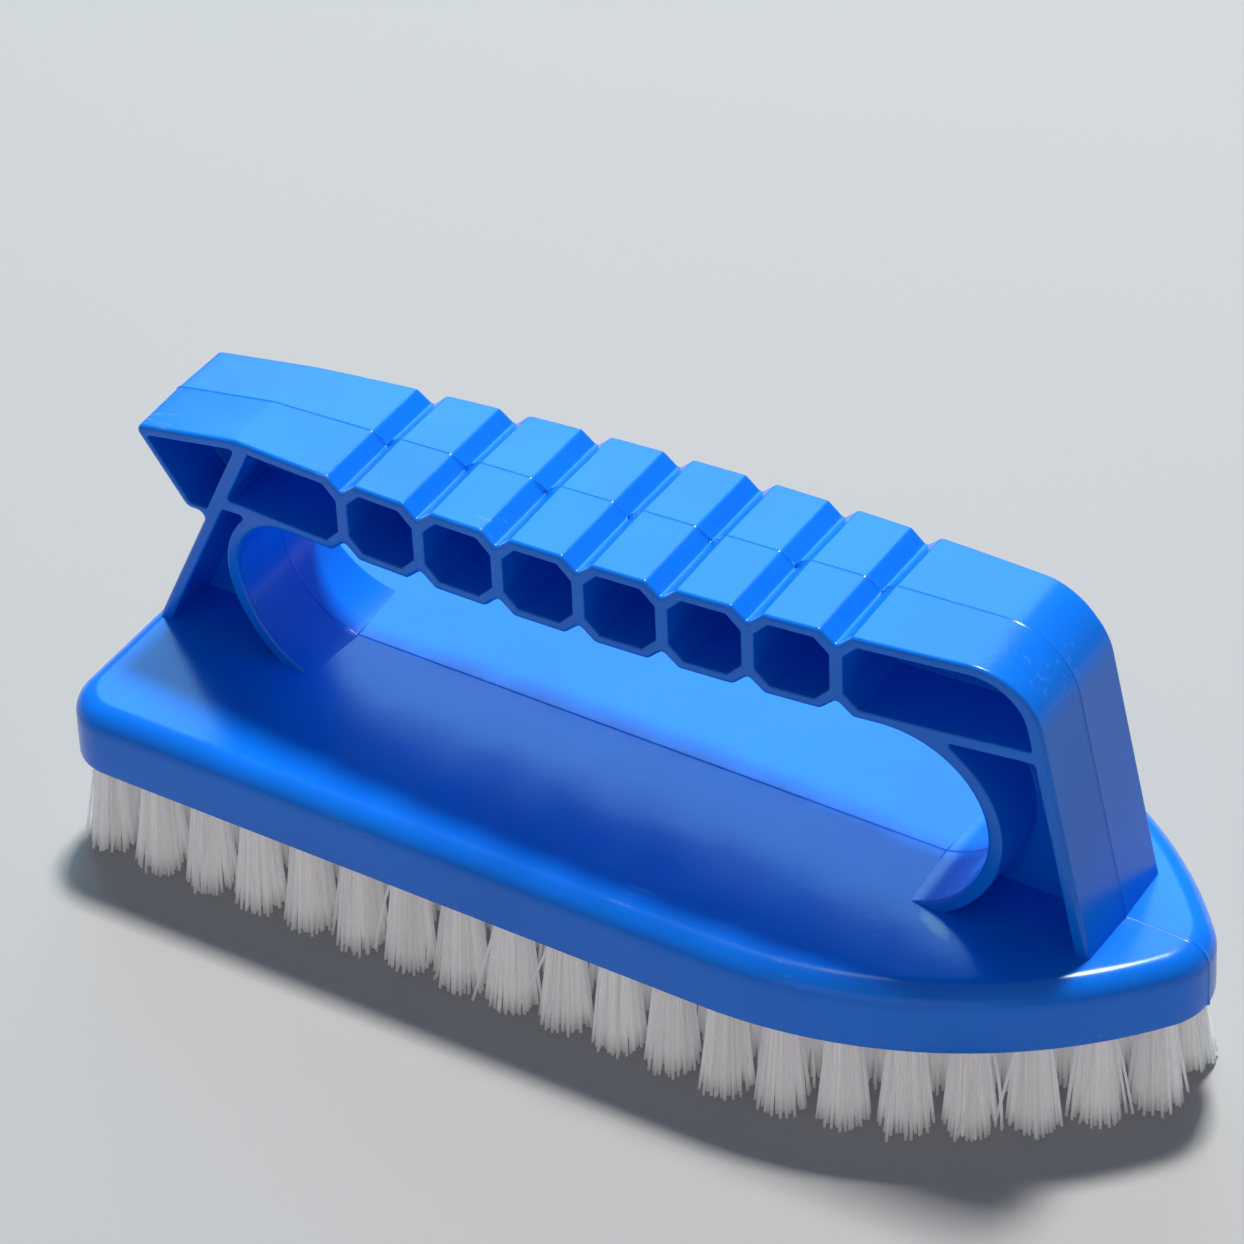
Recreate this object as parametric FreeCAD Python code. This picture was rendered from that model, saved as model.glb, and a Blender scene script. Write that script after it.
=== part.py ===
"""Hand scrub brush for pool walls: one plastic moulding with staple-set filament tufts.

Millimetres. +X points to the nose, +Z up. The origin is the centre of the footprint, on the plane of the
filament tips. The body is one moulding, written as two nodes that meet face to face: block and handle.
"""

import FreeCAD, Part
import math
import os

from FreeCAD import Vector

# ---- block ----
BLOCK_LENGTH = 183.0
BLOCK_WIDTH = 74.8
BLOCK_THICKNESS = 11.5
REAR_CORNER_RADIUS = 9.0
FLANK_RADIUS = 80.0  # the two long arcs that draw the sides in to the nose
NOSE_RADIUS = 11.0
TOP_EDGE_RADIUS = 4.0
BOTTOM_EDGE_RADIUS = 0.5

# ---- handle: heights are above the block's top face ----
GRIP_TOP_AT_ORIGIN = 45.3
GRIP_TOP_SLOPE = 0.057
GRIP_UNDERSIDE_AT_ORIGIN = 30.0
GRIP_UNDERSIDE_SLOPE = 0.049
HOOK_CREASE_X = -70.8  # where the grip's top bends down into the hook
HOOK_TOP_SLOPE = 0.193
HOOK_END = (-90.7, 37.4)
HOOK_TIP = (-81.3, 24.0)
REAR_LEG_FOOT_X = -89.1
REAR_LEG_LEAN = 0.4645  # forward travel per unit of height
FRONT_LEG_FOOT_X = 77.5
FRONT_LEG_LEAN = -0.213
FRONT_CORNER_RADIUS = 12.0

GROOVE_COUNT = 7
GROOVE_PITCH = 14.4
MIDDLE_GROOVE_X = -6.8
GROOVE_HALF_WIDTH = 2.5
GROOVE_DEPTH = 2.2

GRIP_WALL = 2.1
HOOK_WALL_THICKNESS = 2.3
REAR_LEG_WALL = 2.4
FRONT_LEG_WALL = 2.7
ARCH_WALL = 2.7
DIVIDER = 2.2
CELL_CHAMFER = 2.4
CELL_CORNER = 0.6
WEB = 2.0

LEG_HALF_WIDTH = 11.2
GRIP_HALF_WIDTH = 14.9  # at the widest point, halfway along the grip
BULGE_CENTRE_X = -2.5
BULGE_HALF_LENGTH = 68.3

# ---- finger opening: a straight roof between round ends that run out into the block's top ----
REAR_ARCH_X = -71.5
REAR_ARCH_UPPER_RADIUS = 10.6
FRONT_ARCH_X = 60.0
ARCH_DIP = 0.2  # how far the round ends would pass below the block's top, so that their toes aren't blades

# ---- tufts and their anchors ----
TUFT_LENGTH = 17.5  # free filament length below the block
TUFT_PITCH = 9.2
TUFT_RINGS = {  # ring: (distance in from the block's outline, outward lean of the tips)
    "outer": (5.0, 1.3),
    "second": (14.2, 0.8),
    "third": (23.4, 0.4),
    "inner": (32.6, 0.0),
}
PAIR_MIN_Y = 4.0  # two tufts nearer the centreline than this would run into each other
HOLE_RADIUS = 2.8
HOLE_DEPTH = 8.0
TUFT_PLUG_RADIUS = 2.75
TUFT_TIP_RADIUS = 4.4
TUFTS_PER_NODE = 8
ANCHOR_LENGTH = 6.8
ANCHOR_THICKNESS = 0.4
ANCHOR_HEIGHT = 2.0
FILAMENT_LOOP = 0.9  # the fold of the filaments, between the anchor and the hole's end

# ---- values that follow ----
BLOCK_TOP = TUFT_LENGTH + BLOCK_THICKNESS
FOOT_EMBED = 3.0  # the legs are drawn this far down, then trimmed on the block
BEYOND = 30.0  # clear of the widest part of the handle


# ---- straight lines in the XZ plane ----
def line(x, z, dx, dz):
    length = math.hypot(dx, dz)
    return (x, z, dx / length, dz / length)


def shifted(a_line, distance):
    """The line moved to the right of its own direction, seen with +X right and +Z up."""
    x, z, dx, dz = a_line
    return (x + dz * distance, z - dx * distance, dx, dz)


def meet(first, second):
    x1, z1, dx1, dz1 = first
    x2, z2, dx2, dz2 = second
    along = ((x2 - x1) * dz2 - (z2 - z1) * dx2) / (dx1 * dz2 - dz1 * dx2)
    return (x1 + along * dx1, z1 + along * dz1)


def z_at(a_line, x):
    px, pz, dx, dz = a_line
    return pz + (x - px) * dz / dx


def x_at(a_line, z):
    px, pz, dx, dz = a_line
    return px + (z - pz) * dx / dz


GRIP_TOP = line(0, GRIP_TOP_AT_ORIGIN, 1, GRIP_TOP_SLOPE)
GRIP_UNDERSIDE = line(0, GRIP_UNDERSIDE_AT_ORIGIN, 1, GRIP_UNDERSIDE_SLOPE)
CREASE = (HOOK_CREASE_X, z_at(GRIP_TOP, HOOK_CREASE_X))
HOOK_TOP = line(*CREASE, 1, HOOK_TOP_SLOPE)
HOOK_WALL = line(*HOOK_END, HOOK_TIP[0] - HOOK_END[0], HOOK_TIP[1] - HOOK_END[1])
REAR_LEG = line(REAR_LEG_FOOT_X, 0, REAR_LEG_LEAN, 1)
FRONT_LEG = line(FRONT_LEG_FOOT_X, 0, FRONT_LEG_LEAN, 1)

GRIP_CEILING = shifted(GRIP_TOP, GRIP_WALL)
GRIP_FLOOR = shifted(GRIP_UNDERSIDE, -GRIP_WALL)
HOOK_CEILING = shifted(HOOK_TOP, GRIP_WALL)
HOOK_INSIDE = shifted(HOOK_WALL, -HOOK_WALL_THICKNESS)
REAR_LEG_INSIDE = shifted(REAR_LEG, REAR_LEG_WALL)
FRONT_LEG_INSIDE = shifted(FRONT_LEG, -FRONT_LEG_WALL)


# ---- wires and prisms ----
def straight(start, end):
    return Part.LineSegment(start, end).toShape()


def rounded_wire(corners):
    """A closed wire in the XZ plane through (x, z, radius) corners, each rounded by a tangent arc."""
    points = [Vector(x, 0, z + BLOCK_TOP) for x, z, _ in corners]
    arcs, starts, ends = [], [], []
    for i, (_, _, radius) in enumerate(corners):
        here = points[i]
        back = (points[i - 1] - here).normalize()
        ahead = (points[(i + 1) % len(points)] - here).normalize()
        half_angle = back.getAngle(ahead) / 2
        reach = radius / math.tan(half_angle)
        starts.append(here + back * reach)
        ends.append(here + ahead * reach)
        if radius:
            inward = (back + ahead).normalize()
            middle = here + inward * (radius / math.sin(half_angle) - radius)
            arcs.append(Part.Arc(starts[-1], middle, ends[-1]).toShape())
    straights = [straight(end, start) for end, start in zip(ends, starts[1:] + starts[:1])]
    return Part.Wire(Part.__sortEdges__(arcs + straights))


def prism(wire, y_from, y_to):
    face = Part.Face(wire)
    face.translate(Vector(0, y_from, 0))
    return face.extrude(Vector(0, y_to - y_from, 0))


def blind_pair(wire):
    """One cell cut in from each side, leaving the web between them."""
    return [prism(wire, -BEYOND, -WEB / 2), prism(wire, WEB / 2, BEYOND)]


def arc(centre, radius, start, end):
    """An XZ arc about (x, z) between two angles in degrees, from +X up to +Z."""
    def on_circle(angle):
        turn = math.radians(angle)
        return Vector(centre[0] + radius * math.cos(turn), 0, centre[1] + radius * math.sin(turn) + BLOCK_TOP)

    return Part.Arc(on_circle(start), on_circle((start + end) / 2), on_circle(end)).toShape()


# ---- handle ----
def groove_xs():
    first = MIDDLE_GROOVE_X - GROOVE_PITCH * (GROOVE_COUNT - 1) / 2
    return [first + GROOVE_PITCH * i for i in range(GROOVE_COUNT)]


def v_corners(a_line, x, depth):
    """Shoulder, root and shoulder of one V cut into a line."""
    left, right = x - GROOVE_HALF_WIDTH, x + GROOVE_HALF_WIDTH
    return [
        (left, z_at(a_line, left), 0.7),
        (x, z_at(a_line, x) + depth, 0.5),
        (right, z_at(a_line, right), 0.7),
    ]


def handle_outline():
    corners = [
        (x_at(REAR_LEG, -FOOT_EMBED), -FOOT_EMBED, 0),
        (x_at(REAR_LEG, HOOK_TIP[1]), HOOK_TIP[1], 0.6),
        (*HOOK_TIP, 2.0),
        (*meet(HOOK_WALL, HOOK_TOP), 1.5),
        (*CREASE, 2.0),
    ]
    for x in groove_xs():
        corners += v_corners(GRIP_TOP, x, -GROOVE_DEPTH)
    corners.append((*meet(GRIP_TOP, FRONT_LEG), FRONT_CORNER_RADIUS))
    corners.append((x_at(FRONT_LEG, -FOOT_EMBED), -FOOT_EMBED, 0))
    return rounded_wire(corners)


def finger_opening(wall=0.0):
    """The finger opening without its notches. With a wall, the outer shape of the arches around it."""
    tilt = math.degrees(math.atan(GRIP_UNDERSIDE_SLOPE))
    upper_x = REAR_ARCH_X + REAR_ARCH_UPPER_RADIUS
    rear_z = z_at(shifted(GRIP_UNDERSIDE, REAR_ARCH_UPPER_RADIUS), upper_x)
    lower_radius = rear_z + ARCH_DIP
    # the front end is one arc that touches the roof and dips as far as the rear one
    front_radius = (z_at(GRIP_UNDERSIDE, FRONT_ARCH_X - rear_z) + ARCH_DIP) / 2
    front = (FRONT_ARCH_X - front_radius, front_radius - ARCH_DIP)

    lower_end = 180 + math.degrees(math.asin(rear_z / (lower_radius + wall)))
    front_end = -math.degrees(math.asin(front[1] / (front_radius + wall)))
    rear_upper = arc((upper_x, rear_z), REAR_ARCH_UPPER_RADIUS + wall, 90 + tilt, 180)
    rear_lower = arc((REAR_ARCH_X + lower_radius, rear_z), lower_radius + wall, 180, lower_end)
    front_round = arc(front, front_radius + wall, 90 + tilt, front_end)

    below = Vector(0, 0, -2 * FOOT_EMBED)
    rear_toe, front_toe = rear_lower.lastVertex().Point, front_round.lastVertex().Point
    edges = [
        rear_upper,
        rear_lower,
        straight(rear_toe, rear_toe + below),
        straight(rear_toe + below, front_toe + below),
        straight(front_toe + below, front_toe),
        front_round,
        straight(front_round.firstVertex().Point, rear_upper.firstVertex().Point),
    ]
    return prism(Part.Wire(Part.__sortEdges__(edges)), -BEYOND, BEYOND)


def underside_notches():
    """The V notches in the opening's roof, which face the grooves of the top."""
    below = GRIP_UNDERSIDE_AT_ORIGIN / 2
    tools = []
    for x in groove_xs():
        left, root, right = v_corners(GRIP_UNDERSIDE, x, GROOVE_DEPTH)
        feet = [(right[0], below, 0), (left[0], below, 0)]
        tools.append(prism(rounded_wire([(*left[:2], 0), root, (*right[:2], 0)] + feet), -BEYOND, BEYOND))
    return tools


def divider_side(x, direction):
    """A cell's corners along a divider, from ceiling to floor; they keep clear of the V cuts."""
    near = x + direction * DIVIDER / 2
    far = near + direction * CELL_CHAMFER
    return [
        (far, z_at(GRIP_CEILING, far), CELL_CORNER),
        (near, z_at(GRIP_CEILING, near) - CELL_CHAMFER, CELL_CORNER),
        (near, z_at(GRIP_FLOOR, near) + CELL_CHAMFER, CELL_CORNER),
        (far, z_at(GRIP_FLOOR, far), CELL_CORNER),
    ]


def leg_side(leg_inside, ceiling_radius):
    """A cell's corners along a leg, from ceiling to floor."""
    return [
        (*meet(GRIP_CEILING, leg_inside), ceiling_radius),
        (*meet(GRIP_FLOOR, leg_inside), CELL_CORNER),
    ]


def grip_cells():
    xs = groove_xs()
    left_sides = [leg_side(REAR_LEG_INSIDE, CELL_CORNER)]
    left_sides += [divider_side(x, 1) for x in xs]
    right_sides = [divider_side(x, -1) for x in xs]
    right_sides.append(leg_side(FRONT_LEG_INSIDE, FRONT_CORNER_RADIUS - FRONT_LEG_WALL))
    return [rounded_wire(left[::-1] + right) for left, right in zip(left_sides, right_sides)]


def hook_cell():
    floor_z = HOOK_TIP[1] + HOOK_WALL_THICKNESS
    return rounded_wire([
        (x_at(REAR_LEG, floor_z), floor_z, CELL_CORNER),
        (x_at(HOOK_INSIDE, floor_z), floor_z, CELL_CORNER),
        (*meet(HOOK_INSIDE, HOOK_CEILING), CELL_CORNER),
        (*meet(HOOK_CEILING, REAR_LEG), CELL_CORNER),
    ])


def leg_pocket(leg_inside, inner_x):
    """The space under the grip's floor, from a leg to somewhere inside the arch."""
    return rounded_wire([
        (x_at(leg_inside, -FOOT_EMBED), -FOOT_EMBED, 0),
        (*meet(leg_inside, GRIP_UNDERSIDE), CELL_CORNER),
        (inner_x, z_at(GRIP_UNDERSIDE, inner_x), 0),
        (inner_x, -FOOT_EMBED, 0),
    ])


def plan_limits():
    """Everything inside the handle's outline seen from above: narrow legs, a bulging grip."""
    start, end = BULGE_CENTRE_X - BULGE_HALF_LENGTH, BULGE_CENTRE_X + BULGE_HALF_LENGTH
    far = BLOCK_LENGTH
    edges = []
    for side in (-1, 1):
        leg_y, grip_y = side * LEG_HALF_WIDTH, side * GRIP_HALF_WIDTH
        edges.append(straight(Vector(-far, leg_y, 0), Vector(start, leg_y, 0)))
        bulge = Part.Arc(Vector(start, leg_y, 0), Vector(BULGE_CENTRE_X, grip_y, 0), Vector(end, leg_y, 0))
        edges.append(bulge.toShape())
        edges.append(straight(Vector(end, leg_y, 0), Vector(far, leg_y, 0)))
    for x in (-far, far):
        edges.append(straight(Vector(x, -LEG_HALF_WIDTH, 0), Vector(x, LEG_HALF_WIDTH, 0)))
    face = Part.Face(Part.Wire(Part.__sortEdges__(edges)))
    return face.extrude(Vector(0, 0, 3 * BLOCK_TOP))


def make_handle(block_blank):
    solid = prism(handle_outline(), -BEYOND, BEYOND).common(plan_limits())
    solid = solid.cut([finger_opening()] + underside_notches())
    arches = finger_opening(ARCH_WALL)
    cells = [tool for wire in grip_cells() + [hook_cell()] for tool in blind_pair(wire)]
    middle_x = REAR_ARCH_X + REAR_ARCH_UPPER_RADIUS
    pockets = blind_pair(leg_pocket(REAR_LEG_INSIDE, middle_x))
    pockets += blind_pair(leg_pocket(FRONT_LEG_INSIDE, FRONT_ARCH_X - REAR_ARCH_UPPER_RADIUS))
    cells += [pocket.cut(arches) for pocket in pockets]
    return solid.cut(cells + [block_blank])


# ---- block ----
def block_outline():
    half = BLOCK_WIDTH / 2
    rear, nose = -BLOCK_LENGTH / 2, BLOCK_LENGTH / 2 - NOSE_RADIUS
    flank_drop = FLANK_RADIUS - half
    flank_x = nose - math.sqrt((FLANK_RADIUS - NOSE_RADIUS) ** 2 - flank_drop**2)
    nose_turn = math.atan2(flank_drop, nose - flank_x)
    corner = REAR_CORNER_RADIUS
    diagonal = corner * math.sqrt(0.5)

    edges = [straight(Vector(rear, -half + corner, 0), Vector(rear, half - corner, 0))]
    for side in (-1, 1):
        def at(x, y):
            return Vector(x, side * y, 0)

        def on_flank(turn):
            return at(flank_x + FLANK_RADIUS * math.cos(turn), FLANK_RADIUS * math.sin(turn) - flank_drop)

        def on_nose(turn):
            return at(nose + NOSE_RADIUS * math.cos(turn), NOSE_RADIUS * math.sin(turn))

        middle = at(rear + corner - diagonal, half - corner + diagonal)
        flank_middle = (nose_turn + math.pi / 2) / 2
        edges.append(Part.Arc(at(rear, half - corner), middle, at(rear + corner, half)).toShape())
        edges.append(straight(at(rear + corner, half), at(flank_x, half)))
        edges.append(Part.Arc(at(flank_x, half), on_flank(flank_middle), on_flank(nose_turn)).toShape())
        edges.append(Part.Arc(on_flank(nose_turn), on_nose(nose_turn / 2), on_nose(0)).toShape())
    return Part.Wire(Part.__sortEdges__(edges))


def make_block_blank():
    face = Part.Face(block_outline())
    face.translate(Vector(0, 0, TUFT_LENGTH))
    blank = face.extrude(Vector(0, 0, BLOCK_THICKNESS))
    top = [e for e in blank.Edges if all(abs(v.Z - BLOCK_TOP) < 0.01 for v in e.Vertexes)]
    blank = blank.makeFillet(TOP_EDGE_RADIUS, top)
    bottom = [e for e in blank.Edges if all(abs(v.Z - TUFT_LENGTH) < 0.01 for v in e.Vertexes)]
    return blank.makeFillet(BOTTOM_EDGE_RADIUS, bottom)


# ---- tufts and anchors ----
def half_ring(inset):
    """The path of one ring on the +Y side, from the rear to the nose."""
    ring = block_outline().makeOffset2D(-inset)
    left_side = Part.makeBox(2 * BLOCK_LENGTH, BLOCK_WIDTH, 2, Vector(-BLOCK_LENGTH, 0, -1))
    return Part.Wire(Part.__sortEdges__(ring.common(left_side).Edges))


def ring_places(inset, lean):
    """Root and tip centres of one ring's tufts on the +Y side, from the rear to the nose.

    Every ring straddles the centreline at the rear. Where a ring comes to a point at the nose, its last tuft
    stands in the point, and a tuft too near the centreline for a pair stands on it.
    """
    path = half_ring(inset)
    pointed = inset > NOSE_RADIUS
    half_steps = 2 * round(path.Length / TUFT_PITCH) + (1 if pointed else 0)
    points = path.discretize(Number=half_steps + 1)
    if points[0].x > points[-1].x:
        points.reverse()
    roots = points[1::2]
    for root in roots:
        if root.y < PAIR_MIN_Y:
            root.y = 0
    places = []
    for i, root in enumerate(roots):
        if root.y == 0:
            outward = Vector(1, 0, 0)
        elif i == 0:
            outward = Vector(-1, 0, 0)
        else:
            along = roots[min(i + 1, len(roots) - 1)] - roots[i - 1]
            outward = Vector(-along.y, along.x, 0).normalize()
        places.append((root, root + outward * lean))
    return places


def make_tuft(root, tip, tip_radius):
    top, bottom = TUFT_LENGTH + HOLE_DEPTH, TUFT_LENGTH
    sections = [(root, top, TUFT_PLUG_RADIUS), (root, bottom, TUFT_PLUG_RADIUS), (tip, 0, tip_radius)]
    wires = [Part.Wire(Part.makeCircle(r, Vector(at.x, at.y, z))) for at, z, r in sections]
    return Part.makeLoft(wires, True, True).cut(make_anchor(root))


def make_anchor(root):
    """A flat wire staple across the hole; its ends bite into the block."""
    z = TUFT_LENGTH + HOLE_DEPTH - FILAMENT_LOOP - ANCHOR_HEIGHT
    corner = Vector(root.x - ANCHOR_LENGTH / 2, root.y - ANCHOR_THICKNESS / 2, z)
    return Part.makeBox(ANCHOR_LENGTH, ANCHOR_THICKNESS, ANCHOR_HEIGHT, corner)


def make_hole(root):
    hole = Part.makeCylinder(HOLE_RADIUS, HOLE_DEPTH, Vector(root.x, root.y, TUFT_LENGTH))
    return hole.fuse(make_anchor(root))


def mirrored(place):
    return tuple(Vector(p.x, -p.y, p.z) for p in place)


def tuft_groups():
    """Node suffix and tuft places for every stretch of every ring, left side then right."""
    groups = {}
    for ring, (inset, lean) in TUFT_RINGS.items():
        left = ring_places(inset, lean)
        right = [mirrored(place) for place in left if place[0].y > 0]
        for side, places in (("left", left), ("right", right)):
            pieces = math.ceil(len(places) / TUFTS_PER_NODE)
            for i in range(pieces):
                first, last = len(places) * i // pieces, len(places) * (i + 1) // pieces
                groups[f"{ring}_{side}_{i + 1}"] = places[first:last]
    return groups


def tip_radius_at(tip, all_tips):
    """As wide as the usual tuft, or less where neighbours stand closer."""
    nearest = min((tip - other).Length for other in all_tips if (tip - other).Length > 0.01)
    return min(TUFT_TIP_RADIUS, 0.48 * nearest)


def main():
    os.makedirs("parts", exist_ok=True)
    groups = tuft_groups()
    places = [place for group in groups.values() for place in group]
    tips = [tip for _, tip in places]

    blank = make_block_blank()
    nodes = {
        "block": blank.cut([make_hole(root) for root, _ in places]),
        "handle": make_handle(blank),
    }
    for name, group in groups.items():
        tufts = [make_tuft(root, tip, tip_radius_at(tip, tips)) for root, tip in group]
        nodes[f"tufts_{name}"] = Part.makeCompound(tufts)
        nodes[f"anchors_{name}"] = Part.makeCompound([make_anchor(root) for root, _ in group])
    for name, shape in nodes.items():
        shape.exportStep(f"parts/{name}.step")


main()
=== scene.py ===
"""Looks of the hand scrub brush: one blue moulding, drilled block and ribbed handle, with nylon tufts.

Metres. The block, handle and tufts are built here on the CAD model's own places and replace its nodes; the
staple anchors keep their CAD shape. +X points to the nose, +Z up, and the filament tips rest on z = 0.
"""

import bmesh
import bpy
import math
import numpy as np
from mathutils import Matrix, Vector
from mathutils.geometry import delaunay_2d_cdt


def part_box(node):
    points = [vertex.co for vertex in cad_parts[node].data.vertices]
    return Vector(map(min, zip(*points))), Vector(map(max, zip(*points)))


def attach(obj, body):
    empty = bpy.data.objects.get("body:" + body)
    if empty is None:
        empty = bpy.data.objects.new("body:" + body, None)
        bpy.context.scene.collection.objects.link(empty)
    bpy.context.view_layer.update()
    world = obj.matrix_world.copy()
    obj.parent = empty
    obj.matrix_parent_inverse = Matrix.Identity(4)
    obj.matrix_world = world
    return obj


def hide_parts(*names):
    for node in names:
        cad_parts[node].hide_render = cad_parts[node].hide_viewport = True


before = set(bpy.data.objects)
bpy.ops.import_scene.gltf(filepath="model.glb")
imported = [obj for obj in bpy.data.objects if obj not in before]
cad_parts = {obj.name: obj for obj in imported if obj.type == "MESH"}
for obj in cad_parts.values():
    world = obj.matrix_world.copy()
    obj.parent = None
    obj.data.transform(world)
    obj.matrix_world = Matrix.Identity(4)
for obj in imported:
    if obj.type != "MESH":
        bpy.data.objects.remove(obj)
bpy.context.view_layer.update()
rng = np.random.default_rng(7)

MM = 0.001
BLOCK_LOW, BLOCK_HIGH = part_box("block")
HANDLE_LOW, HANDLE_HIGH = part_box("handle")
BLOCK_TOP = BLOCK_HIGH.z

# ---- handle, in millimetres: x from the object's origin, heights above the block's top face ----
GRIP_TOP_AT_ORIGIN, GRIP_TOP_SLOPE = 45.3, 0.057
GRIP_UNDERSIDE_AT_ORIGIN, GRIP_UNDERSIDE_SLOPE = 30.0, 0.049
HOOK_CREASE_X, HOOK_TOP_SLOPE = -70.8, 0.193
HOOK_END, HOOK_TIP = (-90.7, 37.4), (-81.3, 24.0)
REAR_LEG_FOOT_X, REAR_LEG_LEAN = -89.1, 0.4645
FRONT_LEG_FOOT_X, FRONT_LEG_LEAN = 77.5, -0.213
FRONT_CORNER_RADIUS = 12.0
MIDDLE_GROOVE_X, GROOVE_PITCH = -6.8, 14.4
GROOVE_XS = [MIDDLE_GROOVE_X + GROOVE_PITCH * i for i in range(-3, 4)]
GROOVE_HALF_WIDTH, GROOVE_DEPTH = 2.5, 2.2
GRIP_WALL, REAR_LEG_WALL, FRONT_LEG_WALL = 2.1, 2.4, 2.7
HOOK_WALL_THICKNESS, HOOK_FLOOR = 1.6, 1.5
ARCH_WALL, DIVIDER, CELL_CHAMFER = 2.7, 2.2, 2.4
WEB = 2.0
REAR_ARCH_X, REAR_ARCH_UPPER_RADIUS = -71.5, 10.6
FRONT_ARCH_X = 60.0
ARCH_DIP = 0.2  # how far the round ends of the finger opening would pass below the block's top
ARCH_STRAIGHT_TURN = 14  # degrees before the roof at which a pocket's arch runs on straight
LEG_HALF_WIDTH, GRIP_HALF_WIDTH = 11.2, 14.9
BULGE_CENTRE_X, BULGE_HALF_LENGTH = -2.5, 68.3
HIDDEN_FOOT = -3.6  # how far the legs reach into the block
HIDDEN_FLOOR = -1.3  # the lower end of the openings, inside the block
CELL_CORNER = 0.5
SHOULDER_RADIUS, ROOT_RADIUS = 1.3, 0.35
HOOK_NOTCH_RADIUS, HOOK_TIP_RADIUS, HOOK_END_RADIUS, CREASE_RADIUS = 0.8, 2.0, 1.5, 3.0

# ---- moulding detail, in millimetres ----
OUTER_EDGE_RADIUS, CELL_EDGE_RADIUS, WEB_FILLET = 0.65, 0.3, 0.2
DRAFT = 0.22  # how much a wall leans over the handle's half width
FLASH_HEIGHT, FLASH_HALF_WIDTH = 0.14, 0.28
BURR_HEIGHT = 0.5  # torn flash where the parting line crosses a groove
BURR_CLEARANCE = 0.4  # burrs keep this far from a groove's shoulders
CREST = -FLASH_HEIGHT  # where the wall reaches the middle plane; the flash tops up the rest
MOULD_STEP = 0.1  # the block's top half is this much smaller than its lower half

# ---- block, in millimetres ----
REAR_CORNER_RADIUS, FLANK_RADIUS, NOSE_RADIUS = 9.0, 80.0, 11.0
TOP_EDGE_RADIUS, BOTTOM_EDGE_RADIUS = 4.0, 0.5
HOLE_RADIUS, HOLE_DEPTH, HOLE_CHAMFER = 2.8, 8.0, 0.25
LOWER_BAND = 1.5  # height over which the flash thins out above the underside's rounding

# ---- filaments, in millimetres ----
FILAMENT_RADIUS = 0.25
OUTER_FILAMENTS, INNER_FILAMENTS = 84, 54  # in each tuft
ROOT_DEPTH = 1.5  # how far up its hole a filament is drawn
ROOT_CLEARANCE, TIP_CLEARANCE = 0.05, 0.05  # from the hole's wall and from the floor
TIP_SCATTER, TIP_UNEVENNESS, CROWN = 0.15, 0.38, 0.5
BOW, FLARE_POWER = 0.06, 1.08
STRAY_SHARE, STRAY_REACH, STRAY_LIFT, STRAY_BOW = 0.06, 1.6, 1.5, 0.4

# ---- the smear on the block, in millimetres ----
SMEAR_MIDDLE, SMEAR_REACH = Vector((53.6, -15.3, 29.0)), Vector((5.6, 2.0, 4.0))
SMEAR_TURN = math.radians(-29)

# ---- camera: degrees, metres; lens and sensor in millimetres ----
CAMERA_AZIMUTH, CAMERA_ELEVATION, CAMERA_ROLL = 33.1, 38.8, -2.54
CAMERA_DISTANCE, CAMERA_AIM = 0.854, Vector((-0.0105, 0.0026, 0.0484))
CAMERA_LENS, CAMERA_SENSOR = 162.7, 36.0


# ---------------------------------------------------------------- flat geometry
def line(x, z, dx, dz):
    length = math.hypot(dx, dz)
    return (x, z, dx / length, dz / length)


def shifted(a_line, distance):
    x, z, dx, dz = a_line
    return (x + dz * distance, z - dx * distance, dx, dz)


def meet(first, second):
    x1, z1, dx1, dz1 = first
    x2, z2, dx2, dz2 = second
    along = ((x2 - x1) * dz2 - (z2 - z1) * dx2) / (dx1 * dz2 - dz1 * dx2)
    return (x1 + along * dx1, z1 + along * dz1)


def z_at(a_line, x):
    px, pz, dx, dz = a_line
    return pz + (x - px) * dz / dx


def x_at(a_line, z):
    px, pz, dx, dz = a_line
    return px + (z - pz) * dx / dz


GRIP_TOP = line(0, GRIP_TOP_AT_ORIGIN, 1, GRIP_TOP_SLOPE)
GRIP_UNDERSIDE = line(0, GRIP_UNDERSIDE_AT_ORIGIN, 1, GRIP_UNDERSIDE_SLOPE)
CREASE = (HOOK_CREASE_X, z_at(GRIP_TOP, HOOK_CREASE_X))
HOOK_TOP = line(*CREASE, 1, HOOK_TOP_SLOPE)
HOOK_WALL = line(*HOOK_END, HOOK_TIP[0] - HOOK_END[0], HOOK_TIP[1] - HOOK_END[1])
REAR_LEG = line(REAR_LEG_FOOT_X, 0, REAR_LEG_LEAN, 1)
FRONT_LEG = line(FRONT_LEG_FOOT_X, 0, FRONT_LEG_LEAN, 1)
GRIP_CEILING = shifted(GRIP_TOP, GRIP_WALL)
GRIP_FLOOR = shifted(GRIP_UNDERSIDE, -GRIP_WALL)
HOOK_CEILING = shifted(HOOK_TOP, GRIP_WALL)
HOOK_INSIDE = shifted(HOOK_WALL, -HOOK_WALL_THICKNESS)
REAR_LEG_INSIDE = shifted(REAR_LEG, REAR_LEG_WALL)
FRONT_LEG_INSIDE = shifted(FRONT_LEG, -FRONT_LEG_WALL)


def arc_points(centre, radius, start, end, step=1.2):
    """Points of an arc between two angles in degrees, as corners that aren't rounded."""
    count = max(3, math.ceil(math.radians(abs(end - start)) * radius / step))
    angles = np.radians(np.linspace(start, end, count + 1))
    return [(centre[0] + radius * math.cos(a), centre[1] + radius * math.sin(a), 0) for a in angles]


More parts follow.
